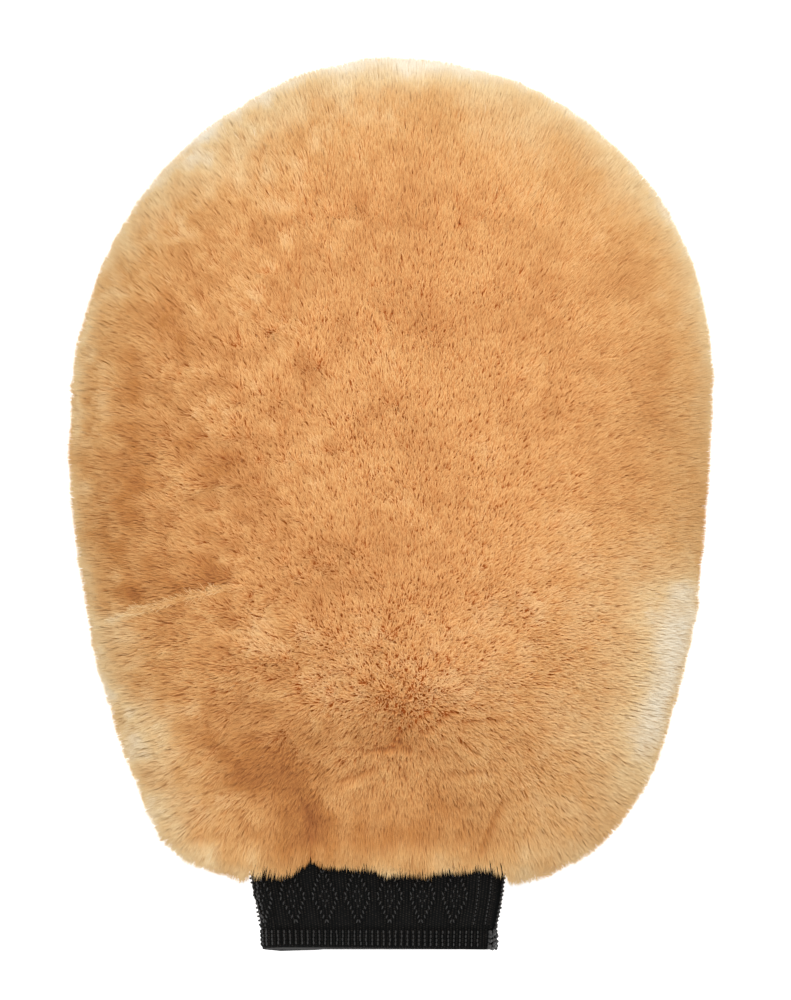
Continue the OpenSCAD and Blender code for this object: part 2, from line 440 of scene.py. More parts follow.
fleeceMaterial = makeFleeceMaterial()
underwoolMaterial = makeMottledMaterial("underwool", 0.9, (166, 92, 36), (198, 122, 58), 90, 1500, 0.6)
hideMaterial = makeMottledMaterial("suedeHide", 0.85, (176, 146, 106), (216, 192, 152), 45, 1100, 0.5)
rubberMaterial = makeMottledMaterial("coveredRubber", 0.6, (14, 13, 12), (34, 32, 30), 200, 2400, 0.4)
knitMaterial = makeKnitMaterial()
stitchMaterial = makeMottledMaterial("knitStitches", 0.42, (7, 7, 7), (30, 28, 26), 300, 2600, 0.2)
seamThreadMaterial = makeThreadMaterial("seamThread", (150, 118, 74), (224, 198, 152), 0.55)
overlockMaterial = makeThreadMaterial("overlockThread", (9, 8, 8), (52, 48, 44), 0.5)
print("materials ready")

# The pile bed is the smooth surface the fibres stand on.
pileBed = {"around": 168, "rings": 84, "depth": 5.5, "liftBelow": 4.5}


def makePileBed():
    bm = bmesh.new()
    bmesh.ops.create_uvsphere(bm, u_segments=pileBed["around"], v_segments=pileBed["rings"], radius=1)
    bed = addMesh("pileBed", bm)
    points = unit(readPoints(bed.data))
    theta = np.arctan2(points[:, 1], points[:, 0])
    level = np.sqrt(np.maximum(1 - points[:, 2] ** 2, 0))
    share = np.sqrt(level)
    flat = share * rimRadius(theta, pileBed["depth"])
    rise = mitt["frontRise"] - pileBed["depth"]
    height = rise * points[:, 2]
    floorHeight = -(mitt["backRise"] - pileBed["liftBelow"])
    height = np.where(height < floorHeight, floorHeight + 0.05 * (height - floorHeight), height)
    writePoints(bed.data, settle(placeRound(flat, theta, height)) * mm)
    return bed


def sampleBed(bed, count, seed):
    # random roots spread evenly over the bed, with its normals
    rng = np.random.default_rng(seed)
    mesh = bed.data
    mesh.calc_loop_triangles()
    corners = np.empty(len(mesh.loop_triangles) * 3, np.int32)
    mesh.loop_triangles.foreach_get("vertices", corners)
    # the operator gives its faces in any order, so they are put in one order
    corners = np.sort(corners.reshape(-1, 3), axis=1)
    corners = corners[np.lexsort(corners.T)]
    places = readPoints(mesh) / mm
    normals = np.empty(len(mesh.vertices) * 3, np.float32)
    mesh.vertices.foreach_get("normal", normals)
    normals = normals.reshape(-1, 3).astype(float)
    a, b, c = (places[corners[:, k]] for k in range(3))
    area = np.linalg.norm(np.cross(b - a, c - a), axis=1) / 2
    # the pressed underside carries fewer fibres
    middle = (a + b + c) / 3
    area *= np.interp(middle[:, 2], [4.5, 7], [0.6, 1])
    chosen = rng.choice(len(area), size=count, p=area / area.sum())
    u, v = rng.random(count), rng.random(count)
    over = u + v > 1
    u, v = np.where(over, 1 - u, u), np.where(over, 1 - v, v)
    w = 1 - u - v
    picked = corners[chosen]
    shares = np.stack([w, u, v], axis=1)[:, :, None]
    roots = (shares * places[picked]).sum(1)
    outward = unit((shares * normals[picked]).sum(1))
    return roots, outward, rng


# The fibres, in mm. Lean and the pulls are shares of a fibre's length.
fleece = {
    "fibres": 574000,
    "length": 6.4,
    "width": 0.5,
    "lean": 0.24,
    "clumpSize": 1.4,
    "clumpPull": 0.022,
    "tuftSize": 3.6,
    "tuftPull": 0.035,
    "waveSize": 12,
    "wavePull": 0.03,
    "stray": 0.085,
    "mostPerPiece": 64000,
    "whorl": (3, -69),
    "overFloor": 0.4,
    "cuffHalfWidth": 39.6,
    "cuffHalfTall": 6.6,
    "fringeX": [-50, -40, -31, -27, -24, -19, -6, 0, 12, 22, 31, 36, 44],
    "fringe": [0, 2.6, 2.6, 1, -1.4, 0.2, 0.2, 2.8, 2.8, 0.8, 0.8, 3, 1],
}
# Tone patches of the front, partly the wool's own colour and partly painted light and shade: middle x, y,
# reach across, reach along, tone change
frontTonesAndPaintedLight = [
    (-6, -84, 40, 10, -0.06),
    (-6, -104, 46, 11, -0.19),
    (-10, -7, 18, 10, -0.04),
    (19, -91, 11, 6, -0.1),
    (40, -97, 14, 8, 0.06),
    (-42, -76, 14, 13, -0.24),
    (-28, -96, 10, 15, -0.25),
    (3, -71, 11, 7, -0.09),
    (24, -68, 14, 4, -0.04),
    (-24, -62, 30, 12, -0.04),
    (-66, -66, 16, 14, 0.06),
    (-82, 0, 10, 34, -0.16),
    (-58, -14, 30, 34, -0.11),
    (-86, -32, 8, 12, 0.15),
    (-92, -56, 10, 16, 0.14),
    (88, 52, 16, 40, 0.06),
    (78, 40, 12, 42, -0.12),
    (52, 66, 20, 36, -0.11),
    (6, 84, 16, 30, -0.12),
    (-12, 94, 14, 12, -0.05),
    (-47, 80, 12, 12, -0.05),
    (-70, 54, 12, 24, -0.07),
    (6, 133, 26, 7, 0.32),
    (74, 100, 16, 14, 0.1),
    (-56, 108, 20, 15, 0.2),
    (60, 96, 30, 24, 0.03),
    (90, -46, 16, 34, 0.42),
    (80, -70, 13, 18, 0.24),
    (56, -84, 26, 24, 0.05),
    (-80, -80, 12, 28, 0.18),
    (22, -18, 20, 13, -0.09),
    (34, -24, 34, 20, 0.04),
    (60, -50, 26, 22, 0.05),
    (0, -55, 30, 16, 0.08),
    (-50, 60, 40, 50, -0.05),
    (0, 24, 50, 40, -0.03),
    (-70, -100, 18, 14, 0.18),
]
# Lines where the pile parts, darkened with painted shade: start, end, half width, depth of the painted shade
partings = [
    ((3, -70), (12, -64), 0.9, 0.1),
    ((10, -70), (19, -64), 0.8, 0.09),
    ((20, -67), (33, -66), 0.7, 0.08),
    ((-8, -76), (2, -74), 0.9, 0.09),
    ((18, -82), (30, -81), 0.8, 0.07),
    ((21, -72), (26, -76), 0.8, 0.07),
    ((2, -72), (6, -75), 1.0, 0.12),
    ((-25, -92), (-24, -114), 2.2, 0.08),
    ((34, -90), (28, -104), 1.0, 0.12),
    ((-14, -84), (-4, -80), 0.8, 0.1),
]


def joinLine(x):
    # where the cross seam runs under the pile
    return mitt["joinY"] - 12 * np.clip((-x - 45) / 42, 0, 1.2) ** 1.5 + 4 * np.clip((x - 40) / 54, 0, 1)


def lineDistance(places, start, end):
    along = np.array(end, float) - start
    share = np.clip(((places[:, :2] - start) @ along) / (along @ along), 0, 1)
    away = places[:, :2] - (start + share[:, None] * along)
    return np.linalg.norm(away, axis=1), unit(away)


def growFibres(bed):
    roots, outward, rng = sampleBed(bed, fleece["fibres"], 11)
    # none where the cuff comes out
    fromCuff = np.abs(roots - (mitt["drift"], 0, mitt["seamZ"]))
    inCuff = (fromCuff[:, 0] < fleece["cuffHalfWidth"]) & (fromCuff[:, 2] < fleece["cuffHalfTall"])
    inCuff &= roots[:, 1] < 0
    roots, outward = roots[~inCuff], outward[~inCuff]
    count = len(roots)
    x, y, z = roots.T
    front = np.clip((z - mitt["seamZ"]) / 12 + 0.5, 0, 1)
    up = np.clip(outward[:, 2], 0, 1)

    # the pile lies away from a whorl near the cuff end
    flow = np.stack([x - fleece["whorl"][0], y - fleece["whorl"][1], np.zeros(count)], axis=1)
    reach = np.linalg.norm(flow, axis=1)
    flow = unit(flow) * np.clip(reach / 22, 0.4, 1)[:, None]
    grain = outward + fleece["lean"] * (flow - (flow * outward).sum(1, keepdims=True) * outward)
    curly = 0.8 + 0.7 * np.clip(-x / 60, -0.3, 1) * front
    for number, kind in enumerate(("clump", "tuft", "wave")):
        slope = noiseSlope(roots, fleece[kind + "Size"], 21 + number)
        grain -= fleece[kind + "Pull"] * curly[:, None] * slope
    grain += fleece["stray"] * rng.normal(size=(count, 3))
    evenness = 1 + 0.05 * softNoise(roots, 9, 26) + 0.05 * softNoise(roots, 3.5, 27)
    length = fleece["length"] * (evenness + 0.05 * rng.normal(size=count))

    tone = 0.49 + 0.06 * curly * softNoise(roots, 4.5, 31) + 0.045 * softNoise(roots, 14, 32)
    tone += 0.02 * softNoise(roots, 1.8, 34)
    tone += 0.015 * rng.normal(size=count) ** 2 - 0.015
    # patches of tone, partly the wool's own colour and partly painted light and shade, weighted to the
    # upward-facing front
    seen = np.clip((z - 6) / 22, 0, 1) * np.clip(up + 0.35, 0, 1)
    for spotX, spotY, wide, tall, change in frontTonesAndPaintedLight:
        tone += seen * change * hump(x - spotX, wide) * hump(y - spotY, tall)
    # painted shade along each parting, where the pile opens
    for start, end, half, depth in partings:
        distance, away = lineDistance(roots, start, end)
        strength = front * hump(distance, half)
        tone -= depth * strength
        length *= 1 - 0.15 * strength
        spread = front * hump(distance, 2.5 * half) * 0.12
        grain[:, :2] += away * spread[:, None]

    # painted light: the edges' tone is raised for light passing through the fibres, more at the fingertips
    # than at the sides, and the right side's edge is made darker
    rim = 1 - up
    crown = np.clip((y + 20) / 130, 0, 1)
    leftEdge = np.clip((-x - 40) / 30, 0, 1) * np.clip((30 - y) / 30, 0, 1)
    tone += rim * np.clip((outward[:, 2] + 0.35) / 0.55, 0, 1) * (0.06 + 0.4 * crown + 0.12 * leftEdge)
    rightDark = np.clip((x - 60) / 20, 0, 1) * hump(y - 2, 24)
    tone -= 0.2 * rim * rightDark

    # the cross seam: a raised pale ridge at the left, a change of shade at the right
    overJoin = y - joinLine(x) + 1.1
    left = np.clip((-x - 42) / 10, 0, 1) * np.clip((x + 88) / 10, 0, 1) * front
    ridge = hump(overJoin, 1.3)
    tone += left * (0.28 * ridge - 0.09 * hump(overJoin - 5, 3))
    length *= 1 + 0.1 * left * ridge
    grain[:, 1] -= left * 0.25 * np.sign(overJoin) * hump(overJoin, 4)
    # painted shade: a faint darker line in the groove along the seam
    tone -= 0.035 * front * (1 - left) * hump(overJoin, 1.5)
    right = np.clip((x - 70) / 14, 0, 1) * front
    tone += right * 0.22 * (1 / (1 + np.exp(overJoin / 1.2)) - 0.35) * hump(overJoin, 30)

    # hanging pile over the cuff is longer and ragged
    heel = np.clip((-y - 96) / 18, 0, 1)
    overCuff = np.clip((-y - 100) / 4, 0, 1) * np.clip((mitt["seamZ"] + 18 - z) / 6, 0, 1) * front
    length += overCuff * np.interp(x, fleece["fringeX"], fleece["fringe"])
    streaks = 1 + 0.35 * softNoise(np.stack([x, 0 * x, 0 * x], axis=1), 8, 42)
    tone += 0.1 * overCuff * streaks + 0.07 * streaks * front * np.clip((-y - 102) / 11, 0, 1)
    length *= 1 + 0.06 * heel + 0.08 * heel * softNoise(roots, 5, 41)
    grain[:, 1] -= 0.25 * heel * up
    # painted shade: the heel's upper pile is darkened where it turns away from the key light
    tone -= 0.05 * heel * up

    # underneath the pile is pressed flat
    below = np.clip((13 - z) / 11, 0, 1)
    grain[:, 2] *= 1 - 0.82 * below
    side = np.stack([x, y - mitt["wideY"]], axis=1)
    grain[:, :2] += 0.8 * below[:, None] * unit(side) + 0.35 * below[:, None] * rng.normal(size=(count, 2))

    # no tip goes below the floor
    grain = unit(grain)
    low = z + grain[:, 2] * length < fleece["overFloor"]
    grain[low, 2] = (fleece["overFloor"] - z[low]) / length[low]
    grain = unit(grain)
    deepest = (z - fleece["overFloor"]) / np.maximum(-grain[:, 2], 1e-3)
    length = np.where(grain[:, 2] < 0, np.minimum(length, deepest), length)

    width = fleece["width"] * (1 + 0.3 * overCuff) * (1 + 0.2 * rng.normal(size=count))
    width = np.clip(width, 0.2, 0.9)
    size = np.stack([width, width, length], axis=1)
    # light passes through the outer fibres, so they are shaded as if they faced up a little
    overMouth = np.clip((-y - 92) / 16, 0, 1) * np.clip((86 - np.abs(x)) / 24, 0, 1)
    lift = 0.8 * rim * np.clip((z - 4) / 22, 0, 1) * (1 - overMouth)
    lit = np.stack([0 * x, 0 * x, lift], axis=1)
    shade = unit(outward + lit + 0.07 * rng.normal(size=(count, 3)) + 0.2 * grain)
    extras = {"tone": np.stack([np.clip(tone, 0.02, 0.98)] * 3, axis=1), "shade": shade}
    return roots, grain, size, extras, overJoin, front


def makeFibreShape():
    # a three-sided spike with its sides marked for the map: across -1 to 1, along 0 to 1
    bm = bmesh.new()
    bmesh.ops.create_cone(bm, segments=3, radius1=0.5, radius2=0, depth=1, cap_ends=False)
    bmesh.ops.translate(bm, vec=(0, 0, 0.5), verts=bm.verts)
    shape = addMesh("fibreShape", bm)
    marks = shape.data.attributes.new("marks", "FLOAT_VECTOR", "POINT")
    bottom = 0
    for index, vertex in enumerate(shape.data.vertices):
        if vertex.co.z > 0.5:
            marks.data[index].vector = (0, 1, 0)
        else:
            marks.data[index].vector = (bottom - 1, 0, 0)
            bottom += 1
    return shape


def makeFleece():
    bed = makePileBed()
    roots, grain, size, extras, overJoin, front = growFibres(bed)
    shape = makeFibreShape()
    tree = scatterNodes(shape)
    onFront = roots[:, 2] > mitt["seamZ"]
    areas = {
        "fleeceFingertip": onFront & (overJoin >= 0),
        "fleeceHeel": onFront & (overJoin < 0),
        "fleeceBack": ~onFront,
    }
    for name, wanted in areas.items():
        chosen = np.flatnonzero(wanted)
        chosen = chosen[np.argsort(roots[chosen, 1])]
        parts = np.array_split(chosen, math.ceil(len(chosen) / fleece["mostPerPiece"]))
        for number, part in enumerate(parts, 1):
            picked = {key: values[part] for key, values in extras.items()}
            piece = scatterShape(f"{name}{number}", tree, roots[part], grain[part], size[part], picked)
            mesh = piece.data
            tone, shade, marks = (takeVector(mesh, key) for key in ("tone", "shade", "marks"))
            writeMap(mesh, np.stack([tone[:, 0] + 0.004 * marks[:, 0], 0.03 + 0.94 * marks[:, 1]], axis=1))
            smoothFaces(piece)
            mesh.normals_split_custom_set_from_vertices(unit(shade).astype(np.float32))
            setMaterial(piece, fleeceMaterial)
            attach(piece, "mitt")
        print(name, len(chosen), "fibres in", len(parts))
    for helper in (bed, shape):
        bpy.data.objects.remove(helper)


def shrinkPile(places):
    # the outer skin of the CAD pile moves in to the fibres' roots, and the skin on the hide stays
    depth = pileBed["depth"] - 0.4
    x, y, z = places[:, 0], places[:, 1] - mitt["wideY"], places[:, 2] - mitt["seamZ"]
    theta = np.arctan2(y, x)
    outer = rimRadius(theta, 0)
    share = np.hypot(x, y) / outer
    lift = np.abs(z) / mitt["frontRise"]
    skin = (share ** 4 + lift ** 2 > 0.93) | (z < 0.2 - mitt["backRise"])
    newFlat = np.hypot(x, y) * rimRadius(theta, depth) / outer
    newZ = z * (mitt["frontRise"] - depth) / mitt["frontRise"]
    newZ = np.maximum(newZ, -(mitt["backRise"] - pileBed["liftBelow"] + 0.4))
    return np.where(skin[:, None], settle(placeRound(newFlat, theta, newZ)), places)


def copyNode(node):
    bm = bmesh.new()
    bm.from_mesh(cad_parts[node].data)
    bmesh.ops.remove_doubles(bm, verts=bm.verts, dist=2e-6)
    return bm


def makeUnderwool():
    # what shows between the fibres, and the pile's bulk
    for name, node in (
        ("underwoolFingertip", "front_wool_upper"),
        ("underwoolHeel", "front_wool_lower"),
        ("underwoolBack", "back_wool"),
    ):
        piece = addMesh(name, copyNode(node))
        places = shrinkPile(readPoints(piece.data) / mm)
        writePoints(piece.data, places * mm)
        setMaterial(piece, underwoolMaterial)
        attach(piece, "mitt")
        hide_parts(node)
    print("underwool ready")


hide = {"wrinkle": 0.35, "wrinkleSize": 22}


def makeHides():
    for name, node in (
        ("hideFingertip", "front_hide_upper"),
        ("hideHeel", "front_hide_lower"),
        ("hideBack", "back_hide"),
    ):
        bm = copyNode(node)
        bmesh.ops.triangulate(bm, faces=bm.faces)
        bmesh.ops.subdivide_edges(bm, edges=bm.edges, cuts=1, use_grid_fill=True)
        piece = addMesh(name, bm)
        places = readPoints(piece.data) / mm
        # both skins move together, so the hide keeps its thickness
        flat = np.stack([places[:, 0], places[:, 1], np.sign(places[:, 2] - mitt["seamZ"]) * 30], axis=1)
        middle = np.clip(np.abs(places[:, 2] - mitt["seamZ"]) / 6, 0, 1)
        places[:, 2] += middle * hide["wrinkle"] * softNoise(flat, hide["wrinkleSize"], 51)
        writePoints(piece.data, places * mm)
        setMaterial(piece, hideMaterial)
        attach(piece, "mitt")
        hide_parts(node)
    print("hides ready")


thread = {
    "radius": 0.3,
    "pitch": 5,
    "sideLoop": 2.5,
    "crossLoop": 1.6,
    "mouthLoop": 1.8,
    "overlockLoop": 1.8,
    "around": 12,
    "across": 5,
}


def makeRing(name, around, across):
    # a closed ring, and each point's share of the way round it and round its section
    bm = bmesh.new()
    upright = Matrix.Translation((1, 0, 0)) @ Matrix.Rotation(math.pi / 2, 4, "X")
    bmesh.ops.create_circle(bm, segments=across, radius=0.3, matrix=upright)
    section = bm.verts[:] + bm.edges[:]
    bmesh.ops.spin(bm, geom=section, axis=(0, 0, 1), angle=2 * math.pi, steps=around, use_merge=True)
    ring = addMesh(name, bm)
    x, y, z = readPoints(ring.data).T
    turn = (np.arctan2(y, x) / (2 * math.pi)) % 1
    tilt = (np.arctan2(z, np.hypot(x, y) - 1) / (2 * math.pi)) % 1
    return ring, np.round(turn * around) % around / around, np.floor(tilt * across + 0.1) % across / across


def finishRing(ring, places, around, section):
    # sets the points in mm, turns the faces outward and maps U round the ring, V round its section
    writePoints(ring.data, places)
    bm = bmesh.new()
    bm.from_mesh(ring.data)
    bmesh.ops.recalc_face_normals(bm, faces=bm.faces)
    bm.to_mesh(ring.data)
    bm.free()
    corners = np.empty(len(ring.data.loops), np.int32)
    ring.data.loops.foreach_get("vertex_index", corners)
    pairs = np.stack([around, section], axis=1)[corners].reshape(-1, 4, 2)
    wraps = (np.ptp(pairs, axis=1) > 0.5)[:, None, :] & (pairs < 0.5)
    layer = ring.data.uv_layers.new(name="OFBake")
    layer.uv.foreach_set("vector", (pairs + wraps).astype(np.float32).ravel())
    smoothFaces(ring)


def makeLoopShape(radius):
    ring, around, section = makeRing("loopShape", thread["around"], thread["across"])
    turn, tilt = around * 2 * math.pi, section * 2 * math.pi
    reach = radius + thread["radius"] * np.cos(tilt)
    height = thread["radius"] * np.sin(tilt)
    finishRing(ring, np.stack([reach * np.cos(turn), reach * np.sin(turn), height], axis=1), around, section)
    return ring


def makeLoops(name, radius, places, axes, material):
    shape = makeLoopShape(radius)
    places = np.array(places, float)
    axes = np.broadcast_to(np.array(axes, float), places.shape)
    rng = np.random.default_rng(len(places))
    axes = unit(axes + 0.12 * rng.normal(size=places.shape))
    piece = scatterShape(name, scatterNodes(shape), places, axes, np.ones_like(places), {})
    bpy.data.objects.remove(shape)
    smoothFaces(piece)
    setMaterial(piece, material)
    return piece


def makeSeams():
    # the side seam walks round the outline in even steps, from one side of the cuff to the other
    start = math.atan2(mitt["mouthY"] - mitt["wideY"], mitt["drift"] + 42)
    end = math.atan2(mitt["mouthY"] - mitt["wideY"], mitt["drift"] - 42) + 2 * math.pi
    theta = np.linspace(start, end, 4000)
    r = rimRadius(theta, mitt["allowanceIn"])
    line = placeRound(r, theta, 0 * r)
    walked = np.concatenate([[0], np.cumsum(np.linalg.norm(np.diff(line, axis=0), axis=1))])
    stops = np.searchsorted(walked, np.arange(0, walked[-1], thread["pitch"]))
    along = unit(np.gradient(line, axis=0))
    side = makeLoops(
        "sideSeamThread", thread["sideLoop"], line[stops], along[stops], seamThreadMaterial
    )

    x = np.arange(-13.0, 14.0) * thread["pitch"]
    depth = mitt["joinY"] - mitt["wideY"]
    share = np.hypot(x, depth) / rimRadius(np.arctan2(depth, x), mitt["pileEdge"])
    x, share = x[share < 0.97], share[share < 0.97]
    rise = (mitt["hideRise"] - 0.8) * np.sqrt(1 - share ** 4)
    places = np.stack([x, np.full_like(x, mitt["joinY"]), mitt["seamZ"] + rise], axis=1)
    cross = makeLoops(
        "crossSeamThread", thread["crossLoop"], places, (1, 0, 0), seamThreadMaterial
    )

    places = [
        (mitt["drift"] + thread["pitch"] * k, mitt["mouthY"] + 4, mitt["seamZ"] + 6 * upper)
        for upper in (-1, 1)
        for k in range(-6, 7)
    ]
    mouth = makeLoops(
        "mouthThread", thread["mouthLoop"], places, (1, 0, 0), seamThreadMaterial
    )
    for piece, node in (
        (side, "side_seam_stitches"),
        (cross, "cross_seam_stitches"),
        (mouth, "mouth_stitches"),
    ):
        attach(piece, "mitt")
        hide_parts(node)
    print("seams ready")


# The knitted cuff, in mm: places round it count from its right edge over the front.
cuff = {
    "halfStraight": 32.5,
    "radius": 6,
    "thick": 1.8,
    "start": -79.94,
    "fold": -119.25,
    "end": -139.25,
    "firstDiamond": 38.4,
    "diamondPitch": 10.2,
    "diamondHalf": 3.95,
    "diamondTall": 8.7,
    "diamondY": -122,
    "hemLine": -131.8,
    "firstRib": 9.4,
    "ribPitch": 1.93,
    "course": 1.42,
    "sideCourse": 1.32,
    "dottedRibs": (10.9, 7.2),
    "dottedCourse": 1.2,
    "around": 448,
    "narrowDown": [80, 108, 116, 122, 131, 140],
    "narrow": [1, 1.01, 1.02, 0.995, 0.95, 0.94],
    "edgeRound": [0, 9, 40, 74, 84, 93, 105, 120, 158, 168],
    "edge": [0.3, 0.5, 0.9, 1.5, 0.2, -0.6, -0.3, 0.9, 0.8, 0.3],
}
cuffRound = 4 * cuff["halfStraight"] + 2 * math.pi * cuff["radius"]


def bendWithCuff(piece):
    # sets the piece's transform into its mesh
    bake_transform(piece)


def cuffPlace(s, y, depth):
    # s in mm round the tube from its right edge over the front, y along it, depth in from the skin
    half, radius, quarter = cuff["halfStraight"], cuff["radius"], cuff["radius"] * math.pi / 2
    s = s % cuffRound
    back = s > cuffRound / 2
    t = np.where(back, cuffRound - s, s)
    onRight, onLeft = t < quarter, t > cuffRound / 2 - quarter
    leftAngle = math.pi - (cuffRound / 2 - t) / radius
    angle = np.where(onRight, t / radius, np.where(onLeft, leftAngle, math.pi / 2))
    middle = np.where(onRight, half, np.where(onLeft, -half, half - (t - quarter)))
    x = middle + (radius - depth) * np.cos(angle)
    z = (radius - depth) * np.sin(angle) * np.where(back, -1, 1)
    narrow = np.interp(-y, cuff["narrowDown"], cuff["narrow"])
    shift = np.interp(s, cuff["edgeRound"], cuff["edge"])
    fall = np.clip((-y - 128) / 11, 0, 1)
    aside = 0.5 * np.clip((-y - 112) / 12, 0, 1)
    return np.stack([mitt["drift"] + aside + x * narrow, y + shift * fall * fall, mitt["seamZ"] + z], axis=1)


def diamondSpot(s, y):
    # how far a place is from the nearest diamond's middle, and from its outline in mm
    fromFirst = (s - cuff["firstDiamond"]) / cuff["diamondPitch"]
    across = (fromFirst - np.round(fromFirst)) * cuff["diamondPitch"]
    size = np.abs(across) / cuff["diamondHalf"] + np.abs(y - cuff["diamondY"]) / cuff["diamondTall"]
    return size, (size - 1) / 0.275


def reliefAt(s, y):
    # how far the knit stands out of its smooth skin, in mm
    size, away = diamondSpot(s, y)
    plain = np.clip((np.minimum(s, cuffRound - s) - 10) / 1.5, 0, 1)
    band = np.clip((y - cuff["hemLine"]) / 0.6, 0, 1)
    figure = 0.3 * hump(away, 0.4) - 0.4 * hump(away - 0.95, 0.45) - 0.35 * hump(away + 0.95, 0.45)
    figure += 0.15 * hump((size - 0.36) / 0.275, 0.5) + 0.15 * np.clip(away - 1.6, 0, 1)
    sideRibs = 0.3 * np.cos(2 * math.pi * s / 1.25)
    figure = plain * figure + (1 - plain) * sideRibs
    wave = 0.5 + 0.5 * np.cos(2 * math.pi * (s - cuff["firstRib"]) / cuff["ribPitch"])
    ribs = 0.75 * wave ** 2 - 0.45
    ribs *= np.clip((y + 138.6) / 0.5, 0, 1)
    total = band * figure + (1 - band) * ribs
    total += 0.35 * hump(y - cuff["hemLine"], 0.35) - 0.3 * hump(y - cuff["hemLine"] + 0.75, 0.35)
    crease = hump(s - 76, 0.7) * np.clip((-y - 120) / 5, 0, 1)
    flat = np.stack([s, y, 0 * s], axis=1)
    return np.maximum(total - 0.5 * crease + 0.1 * softNoise(flat, 9, 61) + 0.15, -0.36)


def makeKnit():
    # one skin: down the outside, round the end edge and back up the inside
    outer = np.concatenate([np.linspace(cuff["start"], -110, 11)[:-1], np.linspace(-110, -138.9, 81)])
    inner = np.concatenate([np.linspace(-138.9, -112, 28), np.linspace(-112, cuff["start"], 9)[1:]])
    rowY = np.concatenate([outer, [-139.15, cuff["end"], -139.15], inner])
    rowDepth = np.concatenate([0 * outer, [0.25, 0.9, 1.55], 0 * inner + cuff["thick"]])
    walked = np.concatenate([[0], np.cumsum(np.hypot(np.diff(rowY), np.diff(rowDepth)))])
    piece, around, section = makeRing("knitCuff", cuff["around"], len(rowY))
    row = np.rint(section * len(rowY)).astype(int)
    s, y, depth = around * cuffRound, rowY[row], rowDepth[row]
    relief = reliefAt(s, y) * np.where(depth < 1, 1, -0.3)
    share = walked[row] / (walked[-1] + cuff["thick"])
    finishRing(piece, cuffPlace(s, y, depth - relief) * mm, around, share)
    setMaterial(piece, knitMaterial)
    bendWithCuff(piece)
    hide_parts("cuff_neck", "cuff_sleeve", "cuff_hem")
    print("knit ready,", len(piece.data.polygons), "faces")


def makeSeamEdge():
    # the tube's overlocked seam edge stands inward at its right side
    bm = bmesh.new()
    bmesh.ops.create_cube(bm, size=1)
    lengthwise = [edge for edge in bm.edges if abs(edge.verts[0].co.y - edge.verts[1].co.y) > 0.5]
    bmesh.ops.subdivide_edges(bm, edges=lengthwise, cuts=40, use_grid_fill=True)
    length = cuff["start"] - cuff["end"] - 1.4
    bmesh.ops.scale(bm, vec=(4 * mm, length * mm, 2.2 * mm), verts=bm.verts)
    rims = [edge for edge in bm.edges if len(edge.link_faces) == 2 and edge.calc_face_angle() > 1]
    bmesh.ops.bevel(bm, geom=rims, offset=0.5 * mm, segments=2, affect="EDGES", profile=0.5, material=-1)
    middle = (cuff["start"] + cuff["end"] + 0.8) / 2
    bmesh.ops.translate(bm, vec=(31 * mm, middle * mm, mitt["seamZ"] * mm), verts=bm.verts)
    edgeStrip = addMesh("knitSeamEdge", bm)
    smoothFaces(edgeStrip)
    setMaterial(edgeStrip, stitchMaterial)
    bendWithCuff(edgeStrip)
    print("seam edge ready")


def makeStitches():
    # the raised stitches of the diamonds, ribs and edges: place round, place along, slope, length
    rows = []
    tall, half = cuff["diamondTall"], cuff["diamondHalf"]
    for k in range(-3, 12):
        middle = cuff["firstDiamond"] + k * cuff["diamondPitch"]
        if not 14 < middle < cuffRound - 14:
            continue
        for side in (-1, 1):
            for step in range(12):
                y = cuff["diamondY"] + tall - 0.9 - step * cuff["course"]
                if y < cuff["diamondY"] - tall + 0.2:
                    continue
                reach = half * (1 - abs(y - cuff["diamondY"]) / tall)
                slope = side * half / tall * (1 if y > cuff["diamondY"] else -1)
                rows.append((middle + side * reach, y, -slope, 1.3, 0.46))
            for step in range(-1, 2):
                y = cuff["diamondY"] + step * cuff["course"]
                rows.append((middle + side * (1.35 - 0.7 * abs(step)), y, 0, 0.8, 0.38))
        for step in (-2.2, 2.2):
            rows.append((middle, cuff["diamondY"] + step * cuff["course"], 0, 0.9, 0.4))
    # plain ribs beside the seam, each a dotted line
    for k in range(16):
        y = -112.5 - cuff["dottedCourse"] * k
        for place in cuff["dottedRibs"]:
            rows.append((place, y, 0, 0.85, 0.42))
            rows.append((cuffRound - place, y, 0, 0.85, 0.42))
    for k in range(int(cuffRound / cuff["ribPitch"])):
        for step in range(4):
            rows.append((cuff["firstRib"] + k * cuff["ribPitch"], -133.4 - 1.36 * step, 0, 1.1, 0.5))
    # coarser stitches down both sides
    for k in range(21):
        y = -111.5 - cuff["sideCourse"] * k
        rows += [
            (0.3, y, 4, 1.3, 0.75),
            (2.4, y + 0.6, 1, 0.9, 0.6),
            (cuffRound / 2 - 0.4, y, -4, 1.1, 0.75),
            (cuffRound / 2 - 2, y + 0.5, 0, 1, 0.6),
            (cuffRound / 2 - 4, y, 0, 1, 0.55),
        ]
    # a knot of turned-in thread at the seam's end
    rng = np.random.default_rng(71)
    spans = ((-2, 6), (-139.2, -131.6), (3.1, 5), (1, 1.6), (0.9, 1.3))
    rows += [tuple(rng.uniform(low, high) for low, high in spans) for k in range(46)]
    s, y, slope, long, wide = np.array(rows).T
    s = s + 0.06 * rng.normal(size=len(s))
    raised = -reliefAt(s, y) - 0.08 - 0.25 * (np.abs(slope) > 3)
    places = cuffPlace(s, y, raised)
    grain = unit(cuffPlace(s + 0.2 * slope, y - 0.2, raised) - cuffPlace(s - 0.2 * slope, y + 0.2, raised))
    bm = bmesh.new()
    bmesh.ops.create_uvsphere(bm, u_segments=8, v_segments=6, radius=0.5)
    shape = addMesh("stitchShape", bm)
    size = np.stack([wide, wide, long], axis=1)
    piece = scatterShape("knitStitches", scatterNodes(shape), places, grain, size, {})
    bpy.data.objects.remove(shape)
    smoothFaces(piece)
    setMaterial(piece, stitchMaterial)
    bendWithCuff(piece)
    print("stitches ready,", len(rows))


